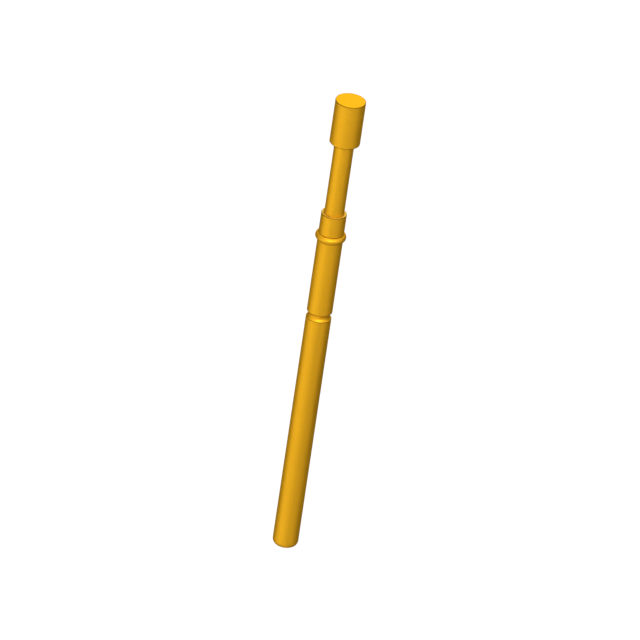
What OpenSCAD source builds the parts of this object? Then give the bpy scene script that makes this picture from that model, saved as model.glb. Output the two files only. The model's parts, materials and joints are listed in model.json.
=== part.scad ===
// Spring contact probe (pogo pin): a flat-faced plunger that slides in a crimped, closed barrel
// against a compression spring. All sizes are in millimetres.
// The origin is on the axis, where the underside of the collar meets the tube.
// +Z points towards the contact face, and the plunger stands fully out, at rest.

/* [Barrel] */
// Outside diameter of the tube
barrel_diameter = 1.67; // [1.5:0.01:2]
// Wall thickness of the tube
barrel_wall = 0.165; // [0.13:0.005:0.2]
// Height of the mouth above the collar's underside
mouth_height = 1.95; // [1.2:0.05:3]
// Length of the tube below the collar's underside
shank_length = 22.7; // [21:0.1:30]
// Thickness of the closed end
end_wall = 0.3; // [0.2:0.05:0.6]
// Outside radius where the tube turns into the closed end
end_round = 0.41; // [0.2:0.01:0.6]
// Inside radius in the corner of the closed end
end_round_inside = 0.1; // [0.05:0.01:0.2]
// Radius on the outer edge of the mouth
mouth_round = 0.03; // [0.02:0.01:0.12]

/* [Collar] */
// Height of the collar bead along the tube
collar_height = 0.5; // [0.4:0.05:0.8]
// How far the collar bead stands out of the tube
collar_rise = 0.18; // [0.1:0.01:0.2]

/* [Crimp] */
// Width of the rolled groove at the surface of the tube
crimp_width = 0.48; // [0.4:0.02:0.6]
// Depth of the rolled groove, and of the pinch that it leaves in the bore
crimp_depth = 0.12; // [0.09:0.01:0.15]

/* [Plunger] */
// Diameter of the head
head_diameter = 2; // [1.7:0.05:3]
// Length of the head
head_length = 3.1; // [1:0.1:5]
// Travel from rest to the fully pressed position
travel = 5; // [3:0.25:6]
// Shaft left showing between the head and the mouth when fully pressed
pressed_gap = 0.25; // [0.1:0.05:1]
// Length of shaft that the barrel guides at rest
guide_length = 2.1; // [1.5:0.1:3]
// Length of the tail that bears in the bore below the crimp
tail_length = 1.6; // [1:0.1:3]
// Chamfer on the lower edge of the tail
tail_chamfer = 0.06; // [0.03:0.01:0.12]
// Edge break on the turned corners of the head
edge_break = 0.03; // [0.01:0.01:0.1]

/* [Spring] */
// Diameter of the wire
wire_diameter = 0.18; // [0.14:0.01:0.22]
// Turns that work
active_turns = 30; // [20:1:36]
// Closed turns at each end
closed_turns = 1.5; // [1:0.5:3]

/* [Clearances] */
// Radial clearance of the shaft and the tail in the bore
running_clearance = 0.02; // [0.01:0.005:0.04]
// Radial clearance of the neck in the crimp
neck_clearance = 0.05; // [0.03:0.01:0.1]
// Radial clearance of the spring in the bore
spring_clearance = 0.06; // [0.03:0.01:0.1]
// Axial clearance between pieces that meet at rest
seat_clearance = 0.02; // [0.01:0.01:0.05]
// Axial clearance between the shaft's end and the crimp when fully pressed
crimp_clearance = 0.08; // [0.05:0.01:0.2]
// Clearance between neighbouring closed turns of the spring
turn_clearance = 0.01; // [0.005:0.005:0.02]

/* [Hidden] */
$fn = 96;

// Radii, from the tube inwards
barrel_radius = barrel_diameter / 2;
bore_radius = barrel_radius - barrel_wall;
shaft_radius = bore_radius - running_clearance;
throat_radius = bore_radius - crimp_depth;
neck_radius = throat_radius - neck_clearance;
head_radius = head_diameter / 2;

// Section circle of the collar bead: it rises by collar_rise over collar_height
collar_circle = section_circle(collar_height, collar_rise);
// Section circle of the rolled groove, and of the pinched wall behind it
groove_circle = section_circle(crimp_width, crimp_depth);
groove_axis = barrel_radius - crimp_depth + groove_circle;
pinch_circle = groove_circle + barrel_wall;

// Heights, from the mouth down
mouth_z = mouth_height;
head_z = mouth_z + pressed_gap + travel;
face_z = head_z + head_length;
shaft_end_z = mouth_z - guide_length;
crimp_z = shaft_end_z - travel - crimp_clearance - pinch_reach(bore_radius);
tail_z = crimp_z - pinch_reach(shaft_radius) - seat_clearance;
tail_end_z = tail_z - tail_length;
end_z = -shank_length;
floor_z = end_z + end_wall;

// Coil of the spring, which fills the chamber between the floor and the tail
wire_radius = wire_diameter / 2;
coil_radius = bore_radius - spring_clearance - wire_radius;
spring_low_z = floor_z + seat_clearance;
spring_high_z = tail_end_z - seat_clearance;
total_turns = active_turns + 2 * closed_turns;
closed_pitch = wire_diameter + turn_clearance;
added_pitch = (spring_high_z - spring_low_z - closed_pitch * total_turns) / (active_turns - 1);
wire_sides = 8;
top_side = wire_sides / 4 - 1;
steps_per_turn = 12;

// Overlap that makes a cut or a join pass through the surface
through = 0.05;

// Radius of the circle whose segment is height long and rise deep
function section_circle(height, rise) = (height * height / 4 + rise * rise) / (2 * rise);

// How far the pinched wall reaches along the axis from the middle of the crimp, at radius r
function pinch_reach(r) = sqrt(pinch_circle * pinch_circle - (groove_axis - r) * (groove_axis - r));

// Integral of a pitch that opens evenly over one turn
function opening(turn) = turn <= 0 ? 0 : turn < 1 ? turn * turn / 2 : turn - 1 / 2;

// Height of the wire's centre after so many turns: closed, opening, open, closing and closed again
function wire_z(turn) =
    spring_low_z + closed_pitch * turn
    + added_pitch * (opening(turn - closed_turns) - opening(turn + closed_turns + 1 - total_turns));

// Ground ends: the wire is cut flat where it would pass the spring's two end planes
function ground(z) = max(spring_low_z, min(spring_high_z, z));

// Point of the wire's surface at a turn and at an angle round its section
function wire_point(turn, angle) =
    let (r = coil_radius + wire_radius * cos(angle))
    [r * cos(360 * turn), r * sin(360 * turn), ground(wire_z(turn) + wire_radius * sin(angle))];

// Half section of a solid column from low to high, with round lower and upper outer edges
module column_section(radius, low, high, low_round, high_round) {
    intersection() {
        translate([0, low])
            square([radius, high - low]);
        union() {
            translate([0, low + low_round])
                square([radius, high - low - low_round - high_round]);
            translate([0, low])
                square([radius - low_round, low_round + through]);
            translate([0, high - high_round - through])
                square([radius - high_round, high_round + through]);
            translate([radius - low_round, low + low_round])
                circle(r = low_round);
            translate([radius - high_round, high - high_round])
                circle(r = high_round);
        }
    }
}

// Segment of a circle that bulges out of the tube's surface
module collar_section() {
    intersection() {
        translate([barrel_radius + collar_rise - collar_circle, collar_height / 2])
            circle(r = collar_circle);
        translate([bore_radius + through, -through])
            square([barrel_wall + collar_rise, collar_height + 2 * through]);
    }
}

// Segment of a circle that bulges into the bore, behind the rolled groove
module pinch_section() {
    intersection() {
        translate([groove_axis, crimp_z])
            circle(r = pinch_circle);
        translate([0, crimp_z - pinch_circle])
            square([bore_radius + through, 2 * pinch_circle]);
    }
}

module bore_section() {
    translate([0, floor_z + end_round_inside])
        square([bore_radius, mouth_z + through - floor_z - end_round_inside]);
    translate([0, floor_z])
        square([bore_radius - end_round_inside, end_round_inside + through]);
    translate([bore_radius - end_round_inside, floor_z + end_round_inside])
        circle(r = end_round_inside);
}

// Drawn tube with its rolled collar bead, the crimp that retains the plunger, and a closed end
module barrel() {
    color([0.89, 0.64, 0.12])
        rotate_extrude()
            difference() {
                union() {
                    difference() {
                        union() {
                            column_section(barrel_radius, end_z, mouth_z, end_round, mouth_round);
                            collar_section();
                        }
                        bore_section();
                    }
                    pinch_section();
                }
                translate([groove_axis, crimp_z])
                    circle(r = groove_circle);
            }
}

// One turned piece: head, bearing shaft, neck through the crimp, and the tail that the crimp retains
module plunger() {
    color([0.93, 0.68, 0.14])
        rotate_extrude()
            polygon([
                [0, face_z],
                [head_radius - edge_break, face_z],
                [head_radius, face_z - edge_break],
                [head_radius, head_z + edge_break],
                [head_radius - edge_break, head_z],
                [shaft_radius, head_z],
                [shaft_radius, shaft_end_z],
                [neck_radius, shaft_end_z - (shaft_radius - neck_radius)],
                [neck_radius, tail_z],
                [shaft_radius, tail_z],
                [shaft_radius, tail_end_z + tail_chamfer],
                [shaft_radius - tail_chamfer, tail_end_z],
                [0, tail_end_z]
            ]);
}

// Compression spring with closed and ground ends: the wire's section swept along its helix
module spring() {
    steps = round(total_turns * steps_per_turn);
    points = [
        for (step = [0:steps], side = [0:wire_sides - 1])
            wire_point(total_turns * step / steps, 360 * (side + 0.5) / wire_sides)
    ];
    skin = [
        for (step = [0:steps - 1], side = [0:wire_sides - 1])
            let (
                here = step * wire_sides,
                next = here + wire_sides,
                other = (side + 1) % wire_sides
            )
            each [
                [here + side, here + other, next + other],
                [here + side, next + other, next + side]
            ]
    ];
    // Each cap starts at a point away from its ground edge, so that it splits into true triangles
    low_cap = [for (side = [0:wire_sides - 1]) (top_side + wire_sides - side) % wire_sides];
    high_cap = [
        for (side = [0:wire_sides - 1])
            steps * wire_sides + (top_side + wire_sides / 2 + side) % wire_sides
    ];
    color([0.72, 0.72, 0.7])
        polyhedron(points, concat(skin, [low_cap, high_cap]), convexity = 10);
}

barrel();
plunger();
spring();
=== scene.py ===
import json
import math

import bpy
from mathutils import Matrix, Vector


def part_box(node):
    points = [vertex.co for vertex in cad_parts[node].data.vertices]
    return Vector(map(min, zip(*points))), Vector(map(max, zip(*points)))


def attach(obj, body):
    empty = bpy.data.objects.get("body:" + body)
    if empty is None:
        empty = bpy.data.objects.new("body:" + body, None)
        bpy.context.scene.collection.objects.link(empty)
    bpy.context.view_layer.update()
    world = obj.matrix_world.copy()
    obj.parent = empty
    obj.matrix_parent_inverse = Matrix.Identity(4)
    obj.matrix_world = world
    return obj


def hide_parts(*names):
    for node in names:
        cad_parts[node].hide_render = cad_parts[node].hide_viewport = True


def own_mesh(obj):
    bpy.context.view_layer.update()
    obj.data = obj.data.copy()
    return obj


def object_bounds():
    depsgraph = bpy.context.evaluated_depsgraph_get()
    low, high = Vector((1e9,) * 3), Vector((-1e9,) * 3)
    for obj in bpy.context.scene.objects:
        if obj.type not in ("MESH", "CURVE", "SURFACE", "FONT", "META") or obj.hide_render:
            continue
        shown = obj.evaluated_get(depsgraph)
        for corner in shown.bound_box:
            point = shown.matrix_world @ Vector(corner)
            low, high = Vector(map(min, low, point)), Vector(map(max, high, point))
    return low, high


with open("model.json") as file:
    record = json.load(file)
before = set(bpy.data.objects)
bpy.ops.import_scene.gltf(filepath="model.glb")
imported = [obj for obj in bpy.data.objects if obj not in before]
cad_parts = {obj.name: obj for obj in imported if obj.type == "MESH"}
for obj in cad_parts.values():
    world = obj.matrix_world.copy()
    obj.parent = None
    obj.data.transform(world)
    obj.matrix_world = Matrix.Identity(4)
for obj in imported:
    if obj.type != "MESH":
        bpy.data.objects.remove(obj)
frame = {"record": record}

CAD_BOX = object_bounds()
MM = 0.001

# ---------------------------------------------------------------- sizes of the pieces, in metres
RECORD = frame["record"]
MOUNTS = {mount["name"]: mount for mount in RECORD["mounts"]}

BARREL_LOW, BARREL_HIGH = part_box("barrel")
PLUNGER_LOW, PLUNGER_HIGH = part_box("plunger")
SPRING_LOW, SPRING_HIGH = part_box("spring")

TUBE_RADIUS = MOUNTS["barrel_shank"]["dims"]["r_mm"] * MM
TUBE_WALL = 0.165 * MM
BORE_RADIUS = TUBE_RADIUS - TUBE_WALL
MOUTH_Z = BARREL_HIGH.z
MOUTH_ROUND = 0.03 * MM
LIP_ROUND = 0.015 * MM
END_Z = BARREL_LOW.z
END_WALL = 0.3 * MM
END_ROUND = 0.41 * MM
END_ROUND_INSIDE = 0.1 * MM

COLLAR_RISE = 0.18 * MM
COLLAR_HEIGHT = 0.5 * MM

CRIMP_WIDTH = 0.48 * MM
CRIMP_DEPTH = 0.12 * MM
CRIMP_Z = -5.5418 * MM

HEAD_RADIUS = 1.0 * MM
HEAD_LENGTH = 3.1 * MM
FACE_Z = PLUNGER_HIGH.z
SHAFT_RADIUS = BORE_RADIUS - 0.02 * MM
NECK_RADIUS = BORE_RADIUS - CRIMP_DEPTH - 0.05 * MM
SHAFT_END_Z = MOUTH_Z - 2.1 * MM
TAIL_LENGTH = 1.6 * MM
TAIL_END_Z = PLUNGER_LOW.z
TAIL_CHAMFER = 0.06 * MM
EDGE_BREAK = 0.03 * MM

WIRE_RADIUS = 0.09 * MM
SPRING_TURNS = 33
CLOSED_TURNS = 1.5
CLOSED_PITCH = 0.19 * MM

# Steps round a turned piece
AROUND = 256
# Distances from the ends of a long straight run at which points are added to it, and the length
# above which a run counts as long
FINER_PLACES = [0.01 * MM, 0.02 * MM, 0.035 * MM, 0.06 * MM, 0.1 * MM]
LONG_RUN = 0.1 * MM
# Points whose heights differ by less than this lie on the same flat end
SAME_HEIGHT = 0.001 * MM
# How far the painted shade at an edge or corner reaches along the section, and the turn of the
# section, in degrees, at which the painted shade starts and the further turn at which it is full
MARK_REACH = 0.04 * MM
MARK_START = 8
MARK_SPAN = 22


# ---------------------------------------------------------------- half sections
def arc(centre_r, centre_z, radius, start, end, steps):
    """Points (r, z) of an arc in the half section, between two angles in degrees."""
    points = []
    for step in range(steps + 1):
        angle = math.radians(start + (end - start) * step / steps)
        points.append((centre_r + radius * math.cos(angle), centre_z + radius * math.sin(angle)))
    return points


def section_circle(height, rise):
    """Radius of the circle whose segment is height long and rise deep."""
    return (height * height / 4 + rise * rise) / (2 * rise)


def refine(profile):
    """Adds points near both ends of each long straight run, so that the painted shade lines at edges
    stay narrow.
    """
    finer = [profile[0]]
    for before, after in zip(profile, profile[1:]):
        length = math.dist(before, after)
        if length > LONG_RUN:
            near = [offset for offset in FINER_PLACES if offset < 0.45 * length]
            places = near + [length - offset for offset in reversed(near)]
            for place in places:
                share = place / length
                finer.append(tuple(a + (b - a) * share for a, b in zip(before, after)))
        finer.append(after)
    return finer


def turning(profile):
    """Signed turn of the half section at each point, in degrees, positive to the left."""
    turns = [0.0]
    for before, here, after in zip(profile, profile[1:], profile[2:]):
        coming = math.atan2(here[1] - before[1], here[0] - before[0])
        going = math.atan2(after[1] - here[1], after[0] - here[0])
        turn = math.degrees(going - coming)
        turns.append((turn + 180) % 360 - 180)
    turns.append(0.0)
    return turns


def lathe(name, profile, cut_z=None):
    """Turns a half section round the Z axis. The section runs with the metal on its left.

    Each point keeps how far along the section it is, how near it is to an outer edge or to an
    inner corner, and whether it lies on a plainly cut end at cut_z, for the materials."""
    profile = refine(profile)
    turns = turning(profile)
    along = [0.0]
    for before, after in zip(profile, profile[1:]):
        along.append(along[-1] + math.dist(before, after))
    edges = []
    creases = []
    # Painted shade: how strongly each point is darkened, from how sharply the section turns near it,
    # at outer edges and inner corners
    for place in along:
        near = 0.0
        for other, turn in zip(along, turns):
            near += turn * max(0.0, 1 - abs(other - place) / MARK_REACH)
        edges.append(min(1.0, max(0.0, (near - MARK_START) / MARK_SPAN)))
        creases.append(min(1.0, max(0.0, (-near - MARK_START) / MARK_SPAN)))

    points = []
    rings = []
    values = {"along": [], "edge": [], "crease": [], "cut": []}
    for (radius, z), place, edge, crease in zip(profile, along, edges, creases):
        count = 1 if radius == 0 else AROUND
        rings.append((len(points), count))
        for step in range(count):
            angle = 2 * math.pi * step / AROUND
            points.append((radius * math.cos(angle), radius * math.sin(angle), z))
        values["along"] += [place / MM] * count
        values["edge"] += [edge] * count
        values["crease"] += [crease] * count
        is_cut = cut_z is not None and abs(z - cut_z) < SAME_HEIGHT
        values["cut"] += [1.0 if is_cut else 0.0] * count

    faces = []
    for (low, low_count), (high, high_count) in zip(rings, rings[1:]):
        for step in range(AROUND):
            after = (step + 1) % AROUND
            if low_count == 1:
                faces.append((low, high + after, high + step))
            elif high_count == 1:
                faces.append((low + step, low + after, high))
            else:
                faces.append((low + step, low + after, high + after, high + step))
    return mesh_piece(name, points, faces, values)


def mesh_piece(name, points, faces, values, sharp=25):
    """Makes a smooth-shaded object from points and faces, with its named values per point. Edges
    that turn by more than the sharp angle, in degrees, stay sharp."""
    mesh = bpy.data.meshes.new(name)
    mesh.from_pydata(points, [], faces)
    for key, numbers in values.items():
        mesh.attributes.new(key, "FLOAT", "POINT").data.foreach_set("value", numbers)
    mesh.shade_smooth()
    mesh.set_sharp_from_angle(angle=math.radians(sharp))
    mesh.update()
    piece = bpy.data.objects.new(name, mesh)
    bpy.context.scene.collection.objects.link(piece)
    return piece


# ---------------------------------------------------------------- barrel
groove_circle = section_circle(CRIMP_WIDTH, CRIMP_DEPTH)
groove_axis = TUBE_RADIUS - CRIMP_DEPTH + groove_circle
groove_angle = math.degrees(math.asin(CRIMP_WIDTH / 2 / groove_circle))
pinch_circle = groove_circle + TUBE_WALL
pinch_angle = math.degrees(math.acos((groove_axis - BORE_RADIUS) / pinch_circle))
collar_circle = section_circle(COLLAR_HEIGHT, COLLAR_RISE)
collar_axis = TUBE_RADIUS + COLLAR_RISE - collar_circle
collar_angle = math.degrees(math.asin(COLLAR_HEIGHT / 2 / collar_circle))
floor_z = END_Z + END_WALL
corner_r = BORE_RADIUS - END_ROUND_INSIDE
corner_z = floor_z + END_ROUND_INSIDE

barrel_profile = [(0, END_Z)]
barrel_profile += arc(TUBE_RADIUS - END_ROUND, END_Z + END_ROUND, END_ROUND, -90, 0, 20)
barrel_profile += arc(groove_axis, CRIMP_Z, groove_circle, 180 + groove_angle, 180 - groove_angle, 24)
barrel_profile += arc(collar_axis, COLLAR_HEIGHT / 2, collar_circle, -collar_angle, collar_angle, 28)
barrel_profile += arc(TUBE_RADIUS - MOUTH_ROUND, MOUTH_Z - MOUTH_ROUND, MOUTH_ROUND, 0, 90, 6)
barrel_profile += arc(BORE_RADIUS + LIP_ROUND, MOUTH_Z - LIP_ROUND, LIP_ROUND, 90, 180, 4)
barrel_profile += arc(groove_axis, CRIMP_Z, pinch_circle, 180 - pinch_angle, 180 + pinch_angle, 20)
barrel_profile += arc(corner_r, corner_z, END_ROUND_INSIDE, 0, -90, 6)
barrel_profile += [(0, floor_z)]
barrel = lathe("barrel_tube", barrel_profile, cut_z=MOUTH_Z)

# ---------------------------------------------------------------- plunger
head_z = FACE_Z - HEAD_LENGTH
tail_z = TAIL_END_Z + TAIL_LENGTH
plunger_profile = [(0, TAIL_END_Z)]
plunger_profile += [(SHAFT_RADIUS - TAIL_CHAMFER, TAIL_END_Z)]
plunger_profile += [(SHAFT_RADIUS, TAIL_END_Z + TAIL_CHAMFER)]
plunger_profile += [(SHAFT_RADIUS, tail_z)]
plunger_profile += [(NECK_RADIUS, tail_z)]
plunger_profile += [(NECK_RADIUS, SHAFT_END_Z - (SHAFT_RADIUS - NECK_RADIUS))]
plunger_profile += [(SHAFT_RADIUS, SHAFT_END_Z)]
plunger_profile += [(SHAFT_RADIUS, head_z)]
plunger_profile += arc(HEAD_RADIUS - EDGE_BREAK, head_z + EDGE_BREAK, EDGE_BREAK, -90, 0, 4)
plunger_profile += arc(HEAD_RADIUS - EDGE_BREAK, FACE_Z - EDGE_BREAK, EDGE_BREAK, 0, 90, 4)
plunger_profile += [(0, FACE_Z)]
plunger = lathe("plunger_body", plunger_profile)

# ---------------------------------------------------------------- spring
coil_radius = SPRING_HIGH.x - WIRE_RADIUS
spring_length = SPRING_HIGH.z - SPRING_LOW.z
open_turns = SPRING_TURNS - 2 * CLOSED_TURNS - 1
added_pitch = (spring_length - CLOSED_PITCH * SPRING_TURNS) / open_turns


def opening(turn):
    """Integral of a pitch that opens evenly over one turn."""
    if turn <= 0:
        return 0.0
    if turn < 1:
        return turn * turn / 2
    return turn - 0.5


def wire_z(turn):
    """Height of the wire's centre after so many turns."""
    opened = opening(turn - CLOSED_TURNS) - opening(turn + CLOSED_TURNS + 1 - SPRING_TURNS)
    return SPRING_LOW.z + CLOSED_PITCH * turn + added_pitch * opened


def coil(name, sides=16, steps_per_turn=40):
    """Round wire wound on its helix, with both ends ground flat."""
    steps = SPRING_TURNS * steps_per_turn
    points = []
    values = {"along": [], "edge": []}
    for step in range(steps + 1):
        turn = step / steps_per_turn
        angle = 2 * math.pi * turn
        for side in range(sides):
            lean = 2 * math.pi * (side + 0.5) / sides
            radius = coil_radius + WIRE_RADIUS * math.cos(lean)
            round_z = wire_z(turn) + WIRE_RADIUS * math.sin(lean)
            z = min(SPRING_HIGH.z, max(SPRING_LOW.z, round_z))
            points.append((radius * math.cos(angle), radius * math.sin(angle), z))
            values["along"].append(lean * WIRE_RADIUS / MM)
            values["edge"].append(1.0 if z != round_z else 0.0)
    faces = []
    for step in range(steps):
        here = step * sides
        ahead = here + sides
        for side in range(sides):
            other = (side + 1) % sides
            faces.append((here + side, ahead + side, ahead + other, here + other))
    faces.append(tuple(range(sides)))
    faces.append(tuple(steps * sides + side for side in reversed(range(sides))))
    return mesh_piece(name, points, faces, values, sharp=40)


spring = coil("spring_coil")


# ---------------------------------------------------------------- materials
def new_material(name):
    """A material with its principled shader, and a helper that adds nodes to it."""
    material = bpy.data.materials.new(name)
    material.use_nodes = True
    tree = material.node_tree
    shader = tree.nodes["Principled BSDF"]

    def add(kind, **settings):
        node = tree.nodes.new(kind)
        for key, value in settings.items():
            if key in node.inputs:
                node.inputs[key].default_value = value
            else:
                setattr(node, key, value)
        return node

    return material, tree.links, shader, add


LIGHT_GOLD = (0.95, 0.52, 0.022, 1)
DARK_GOLD = (0.89, 0.484, 0.02, 1)
# Painted shade: the dark brown that edges and inner corners are darkened towards
PAINTED_SHADE_GOLD = (0.2, 0.085, 0.004, 1)
MATT_GOLD = (0.72, 0.46, 0.05, 1)
GRAZING_TINT = (0.6, 0.54, 0.3, 1)
GOLD_ROUGHNESS = 0.6
ROUGHNESS_SPREAD = 0.05
# How far the painted shade darkens edges and corners
PAINTED_SHADE_SHARE = 0.85
CUT_METALLIC = 0.4


def gold(name, drawn):
    """Satin gold plating: a soft change of tone, the marks of drawing or turning, a fine grain,
    and painted shade: a darker line on each edge and in each corner."""
    material, links, shader, add = new_material(name)
    shader.inputs["Specular Tint"].default_value = GRAZING_TINT

    place = add("ShaderNodeTexCoord")
    to_mm = add("ShaderNodeMapping")
    to_mm.inputs["Scale"].default_value = (1000, 1000, 1000)
    links.new(place.outputs["Object"], to_mm.inputs["Vector"])

    # Marks: rings from turning, or long fine lines from drawing
    if drawn:
        stretch = add("ShaderNodeMapping")
        stretch.inputs["Scale"].default_value = (9, 9, 0.12)
        links.new(to_mm.outputs["Vector"], stretch.inputs["Vector"])
        marks = add("ShaderNodeTexNoise", noise_dimensions="3D", Scale=1.0, Detail=4.0, Roughness=0.6)
        links.new(stretch.outputs["Vector"], marks.inputs["Vector"])
    else:
        along = add("ShaderNodeAttribute", attribute_name="along")
        marks = add("ShaderNodeTexNoise", noise_dimensions="1D", Scale=4.0, Detail=5.0, Roughness=0.65)
        links.new(along.outputs["Fac"], marks.inputs["W"])

    # Tone: broad and faint, then painted shade darkening edges and corners
    broad = add("ShaderNodeTexNoise", noise_dimensions="3D", Scale=0.45, Detail=2.0, Roughness=0.5)
    links.new(to_mm.outputs["Vector"], broad.inputs["Vector"])
    tone = add("ShaderNodeMix", data_type="RGBA")
    tone.inputs["A"].default_value = LIGHT_GOLD
    tone.inputs["B"].default_value = DARK_GOLD
    links.new(broad.outputs["Fac"], tone.inputs["Factor"])
    edge = add("ShaderNodeAttribute", attribute_name="edge")
    crease = add("ShaderNodeAttribute", attribute_name="crease")
    both = add("ShaderNodeMath", operation="ADD", use_clamp=True)
    links.new(edge.outputs["Fac"], both.inputs[0])
    links.new(crease.outputs["Fac"], both.inputs[1])
    less = add("ShaderNodeMath", operation="MULTIPLY")
    less.inputs[1].default_value = PAINTED_SHADE_SHARE
    links.new(both.outputs["Value"], less.inputs[0])
    # Painted shade: the tone is darkened towards dark brown at edges and corners
    painted_shade_tone = add("ShaderNodeMix", data_type="RGBA")
    painted_shade_tone.inputs["B"].default_value = PAINTED_SHADE_GOLD
    links.new(less.outputs["Value"], painted_shade_tone.inputs["Factor"])
    links.new(tone.outputs["Result"], painted_shade_tone.inputs["A"])

    # A plainly cut end is matt and pale, because its rough face scatters the light
    cut = add("ShaderNodeAttribute", attribute_name="cut")
    matt_tone = add("ShaderNodeMix", data_type="RGBA")
    matt_tone.inputs["B"].default_value = MATT_GOLD
    links.new(cut.outputs["Fac"], matt_tone.inputs["Factor"])
    links.new(painted_shade_tone.outputs["Result"], matt_tone.inputs["A"])
    links.new(matt_tone.outputs["Result"], shader.inputs["Base Color"])
    metal = add("ShaderNodeMapRange")
    metal.inputs["To Min"].default_value = 1.0
    metal.inputs["To Max"].default_value = CUT_METALLIC
    links.new(cut.outputs["Fac"], metal.inputs["Value"])
    links.new(metal.outputs["Result"], shader.inputs["Metallic"])

    # Gloss follows the marks, and the grain
    gloss = add("ShaderNodeMapRange")
    gloss.inputs["From Min"].default_value = 0.25
    gloss.inputs["From Max"].default_value = 0.75
    gloss.inputs["To Min"].default_value = GOLD_ROUGHNESS - ROUGHNESS_SPREAD
    gloss.inputs["To Max"].default_value = GOLD_ROUGHNESS + ROUGHNESS_SPREAD
    links.new(marks.outputs["Fac"], gloss.inputs["Value"])
    links.new(gloss.outputs["Result"], shader.inputs["Roughness"])

    grain = add("ShaderNodeTexNoise", noise_dimensions="3D", Scale=22.0, Detail=3.0, Roughness=0.55)
    links.new(to_mm.outputs["Vector"], grain.inputs["Vector"])
    lines = add("ShaderNodeBump", Strength=0.6, Distance=0.0008 * MM)
    links.new(marks.outputs["Fac"], lines.inputs["Height"])
    pits = add("ShaderNodeBump", Strength=0.5, Distance=0.0006 * MM)
    links.new(grain.outputs["Fac"], pits.inputs["Height"])
    links.new(lines.outputs["Normal"], pits.inputs["Normal"])
    links.new(pits.outputs["Normal"], shader.inputs["Normal"])
    return material


def wire_steel(name):
    """Drawn spring wire: bright steel with fine lines along the wire and ground ends."""
    material, links, shader, add = new_material(name)
    shader.inputs["Metallic"].default_value = 1.0
    along = add("ShaderNodeAttribute", attribute_name="along")
    lines = add("ShaderNodeTexNoise", noise_dimensions="1D", Scale=60.0, Detail=3.0, Roughness=0.6)
    links.new(along.outputs["Fac"], lines.inputs["W"])
    place = add("ShaderNodeTexCoord")
    broad = add("ShaderNodeTexNoise", noise_dimensions="3D", Scale=700.0, Detail=3.0, Roughness=0.5)
    links.new(place.outputs["Object"], broad.inputs["Vector"])
    tone = add("ShaderNodeMix", data_type="RGBA")
    tone.inputs["A"].default_value = (0.52, 0.52, 0.51, 1)
    tone.inputs["B"].default_value = (0.66, 0.66, 0.65, 1)
    links.new(broad.outputs["Fac"], tone.inputs["Factor"])
    ground = add("ShaderNodeAttribute", attribute_name="edge")
    bright = add("ShaderNodeMix", data_type="RGBA")
    bright.inputs["B"].default_value = (0.78, 0.78, 0.77, 1)
    links.new(ground.outputs["Fac"], bright.inputs["Factor"])
    links.new(tone.outputs["Result"], bright.inputs["A"])
    links.new(bright.outputs["Result"], shader.inputs["Base Color"])
    gloss = add("ShaderNodeMapRange")
    gloss.inputs["To Min"].default_value = 0.24
    gloss.inputs["To Max"].default_value = 0.42
    links.new(lines.outputs["Fac"], gloss.inputs["Value"])
    links.new(gloss.outputs["Result"], shader.inputs["Roughness"])
    drawing = add("ShaderNodeBump", Strength=0.5, Distance=0.0006 * MM)
    links.new(lines.outputs["Fac"], drawing.inputs["Height"])
    links.new(drawing.outputs["Normal"], shader.inputs["Normal"])
    return material


barrel.data.materials.append(gold("barrel_gold", drawn=True))
plunger.data.materials.append(gold("plunger_gold", drawn=False))
spring.data.materials.append(wire_steel("spring_steel"))

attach(barrel, "barrel")
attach(plunger, "plunger")
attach(spring, "barrel")
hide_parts("barrel")
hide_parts("plunger")
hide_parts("spring")
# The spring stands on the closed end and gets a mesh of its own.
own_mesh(spring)

# ---------------------------------------------------------------- camera
LOW, HIGH = CAD_BOX
MIDDLE = (LOW + HIGH) / 2
HEIGHT = HIGH.z - LOW.z
LOOK_DOWN = math.radians(28.8)
LEAN = math.radians(8.49)
# The picture's width in lengths of the pin, and the shift of its middle in widths of the picture
FRAME_SHARE = 1.2512
AIM_SHIFT = 0.0034
CAMERA_DISTANCE = 3 * HEIGHT

frame_width = FRAME_SHARE * HEIGHT
back = Vector((0, -math.cos(LOOK_DOWN), math.sin(LOOK_DOWN)))
level_right = Vector((1, 0, 0))
level_up = back.cross(level_right)
right = math.cos(LEAN) * level_right + math.sin(LEAN) * level_up
up = math.cos(LEAN) * level_up - math.sin(LEAN) * level_right

camera_data = bpy.data.cameras.new("camera")
camera_data.type = "ORTHO"
camera_data.ortho_scale = frame_width
camera_data.clip_start = 0.001
camera_data.clip_end = 10.0
camera = bpy.data.objects.new("camera", camera_data)
turned = Matrix((right, up, back)).transposed()
aim = Vector((0, 0, MIDDLE.z)) + frame_width * (AIM_SHIFT * right + AIM_SHIFT * up)
camera.matrix_world = Matrix.Translation(aim + CAMERA_DISTANCE * back) @ turned.to_4x4()
bpy.context.scene.collection.objects.link(camera)
bpy.context.scene.camera = camera


# ---------------------------------------------------------------- floor, backdrop and light
def stage_piece(name, points, faces, paint, glow):
    """A plain pale stage surface. Only the camera sees it, so that it isn't mirrored in the gold."""
    mesh = bpy.data.meshes.new(name)
    mesh.from_pydata(points, [], faces)
    piece = bpy.data.objects.new(name, mesh)
    bpy.context.scene.collection.objects.link(piece)
    material, _, shader, _ = new_material(name + "_paint")
    shader.inputs["Base Color"].default_value = (paint, paint, paint, 1)
    shader.inputs["Roughness"].default_value = 0.9
    shader.inputs["Emission Color"].default_value = (1, 1, 1, 1)
    shader.inputs["Emission Strength"].default_value = glow
    mesh.materials.append(material)
    piece.visible_diffuse = False
    piece.visible_glossy = False
    piece.visible_shadow = False


# The floor is far below, because the pin in the photograph casts no shadow on anything.
floor_reach = 24 * HEIGHT
floor_level = LOW.z - 12 * HEIGHT
floor_corners = [(-1, -1), (1, -1), (1, 1), (-1, 1)]
stage_piece(
    "floor",
    [(x * floor_reach, y * floor_reach, floor_level) for x, y in floor_corners],
    [(0, 1, 2, 3)],
    paint=0.9,
    glow=0.96,
)

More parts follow.
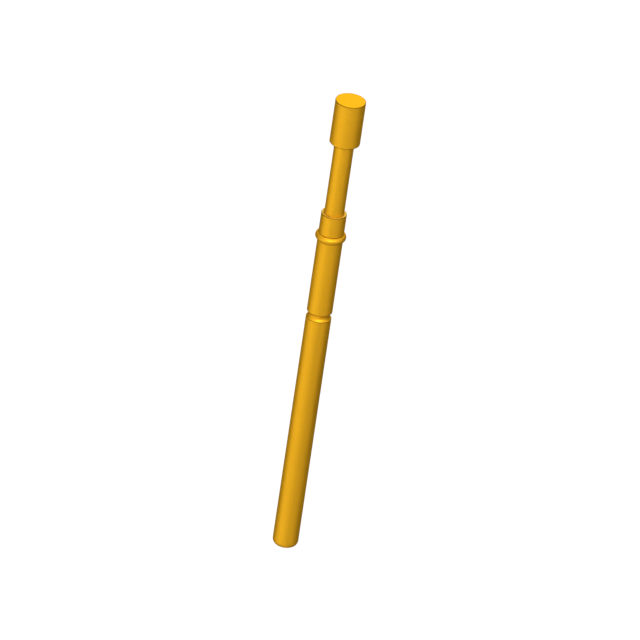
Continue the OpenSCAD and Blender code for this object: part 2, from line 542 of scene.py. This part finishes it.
BACKDROP_ROWS = 16
BACKDROP_COLUMNS = 32
BACKDROP_RADIUS = 30 * HEIGHT
backdrop_points = []
backdrop_faces = []
for row in range(BACKDROP_ROWS + 1):
    polar = math.pi * row / BACKDROP_ROWS
    for column in range(BACKDROP_COLUMNS):
        around = 2 * math.pi * column / BACKDROP_COLUMNS
        outward = Vector(
            (math.sin(polar) * math.cos(around), math.sin(polar) * math.sin(around), math.cos(polar))
        )
        backdrop_points.append(outward * BACKDROP_RADIUS)
for row in range(BACKDROP_ROWS):
    here = row * BACKDROP_COLUMNS
    below = here + BACKDROP_COLUMNS
    for column in range(BACKDROP_COLUMNS):
        after = (column + 1) % BACKDROP_COLUMNS
        backdrop_faces.append((here + column, here + after, below + after, below + column))
stage_piece("backdrop", backdrop_points, backdrop_faces, paint=0.0, glow=1.02)

world = bpy.data.worlds.new("studio")
bpy.context.scene.world = world
world.use_nodes = True
world.node_tree.nodes["Background"].inputs["Color"].default_value = (1, 1, 1, 1)
world.node_tree.nodes["Background"].inputs["Strength"].default_value = 0.05


LIGHT_DISTANCE = 9 * HEIGHT


def soft_box(name, side, height, spread, brightness):
    """A square soft box that faces the middle of the pin. Its place is given by its angle to the
    right of the camera and its angle above the horizon, its size by half the angle that it fills,
    and its brightness by the radiance of its face."""
    side = math.radians(side)
    height = math.radians(height)
    towards = Vector(
        (math.sin(side) * math.cos(height), -math.cos(side) * math.cos(height), math.sin(height))
    )
    data = bpy.data.lights.new(name, "AREA")
    data.shape = "SQUARE"
    data.size = 2 * LIGHT_DISTANCE * math.tan(math.radians(spread))
    data.energy = brightness * math.pi * data.size * data.size
    light = bpy.data.objects.new(name, data)
    light.location = Vector((0, 0, MIDDLE.z)) + LIGHT_DISTANCE * towards
    light.rotation_mode = "QUATERNION"
    light.rotation_quaternion = towards.to_track_quat("Z", "Y")
    light.visible_camera = False
    bpy.context.scene.collection.objects.link(light)


# Name, angle to the right, angle above the horizon, half angle and brightness of each soft box.
# The top light is mirrored in the flat face of the head. The back light keeps the far side of
# the pin from going dark. The others give the shades across the tube.
SOFT_BOXES = [
    ("front_light", 1, 30, 12, 14.2),
    ("left_light", -75, 42, 25, 0.8),
    ("right_light", 70, 50, 25, 1.1),
    ("left_card", -56, -20, 31, 1.1),
    ("right_card", 50, 0, 22, 1.05),
    ("low_card", 0, -65, 20, 0.9),
    ("top_light", 180, 35, 28, 1.34),
    ("crown_light", 180, 82, 25, 1.0),
    ("back_light", 180, -8, 20, 1.9),
]
for values in SOFT_BOXES:
    soft_box(*values)

bpy.context.scene.view_settings.view_transform = "Standard"
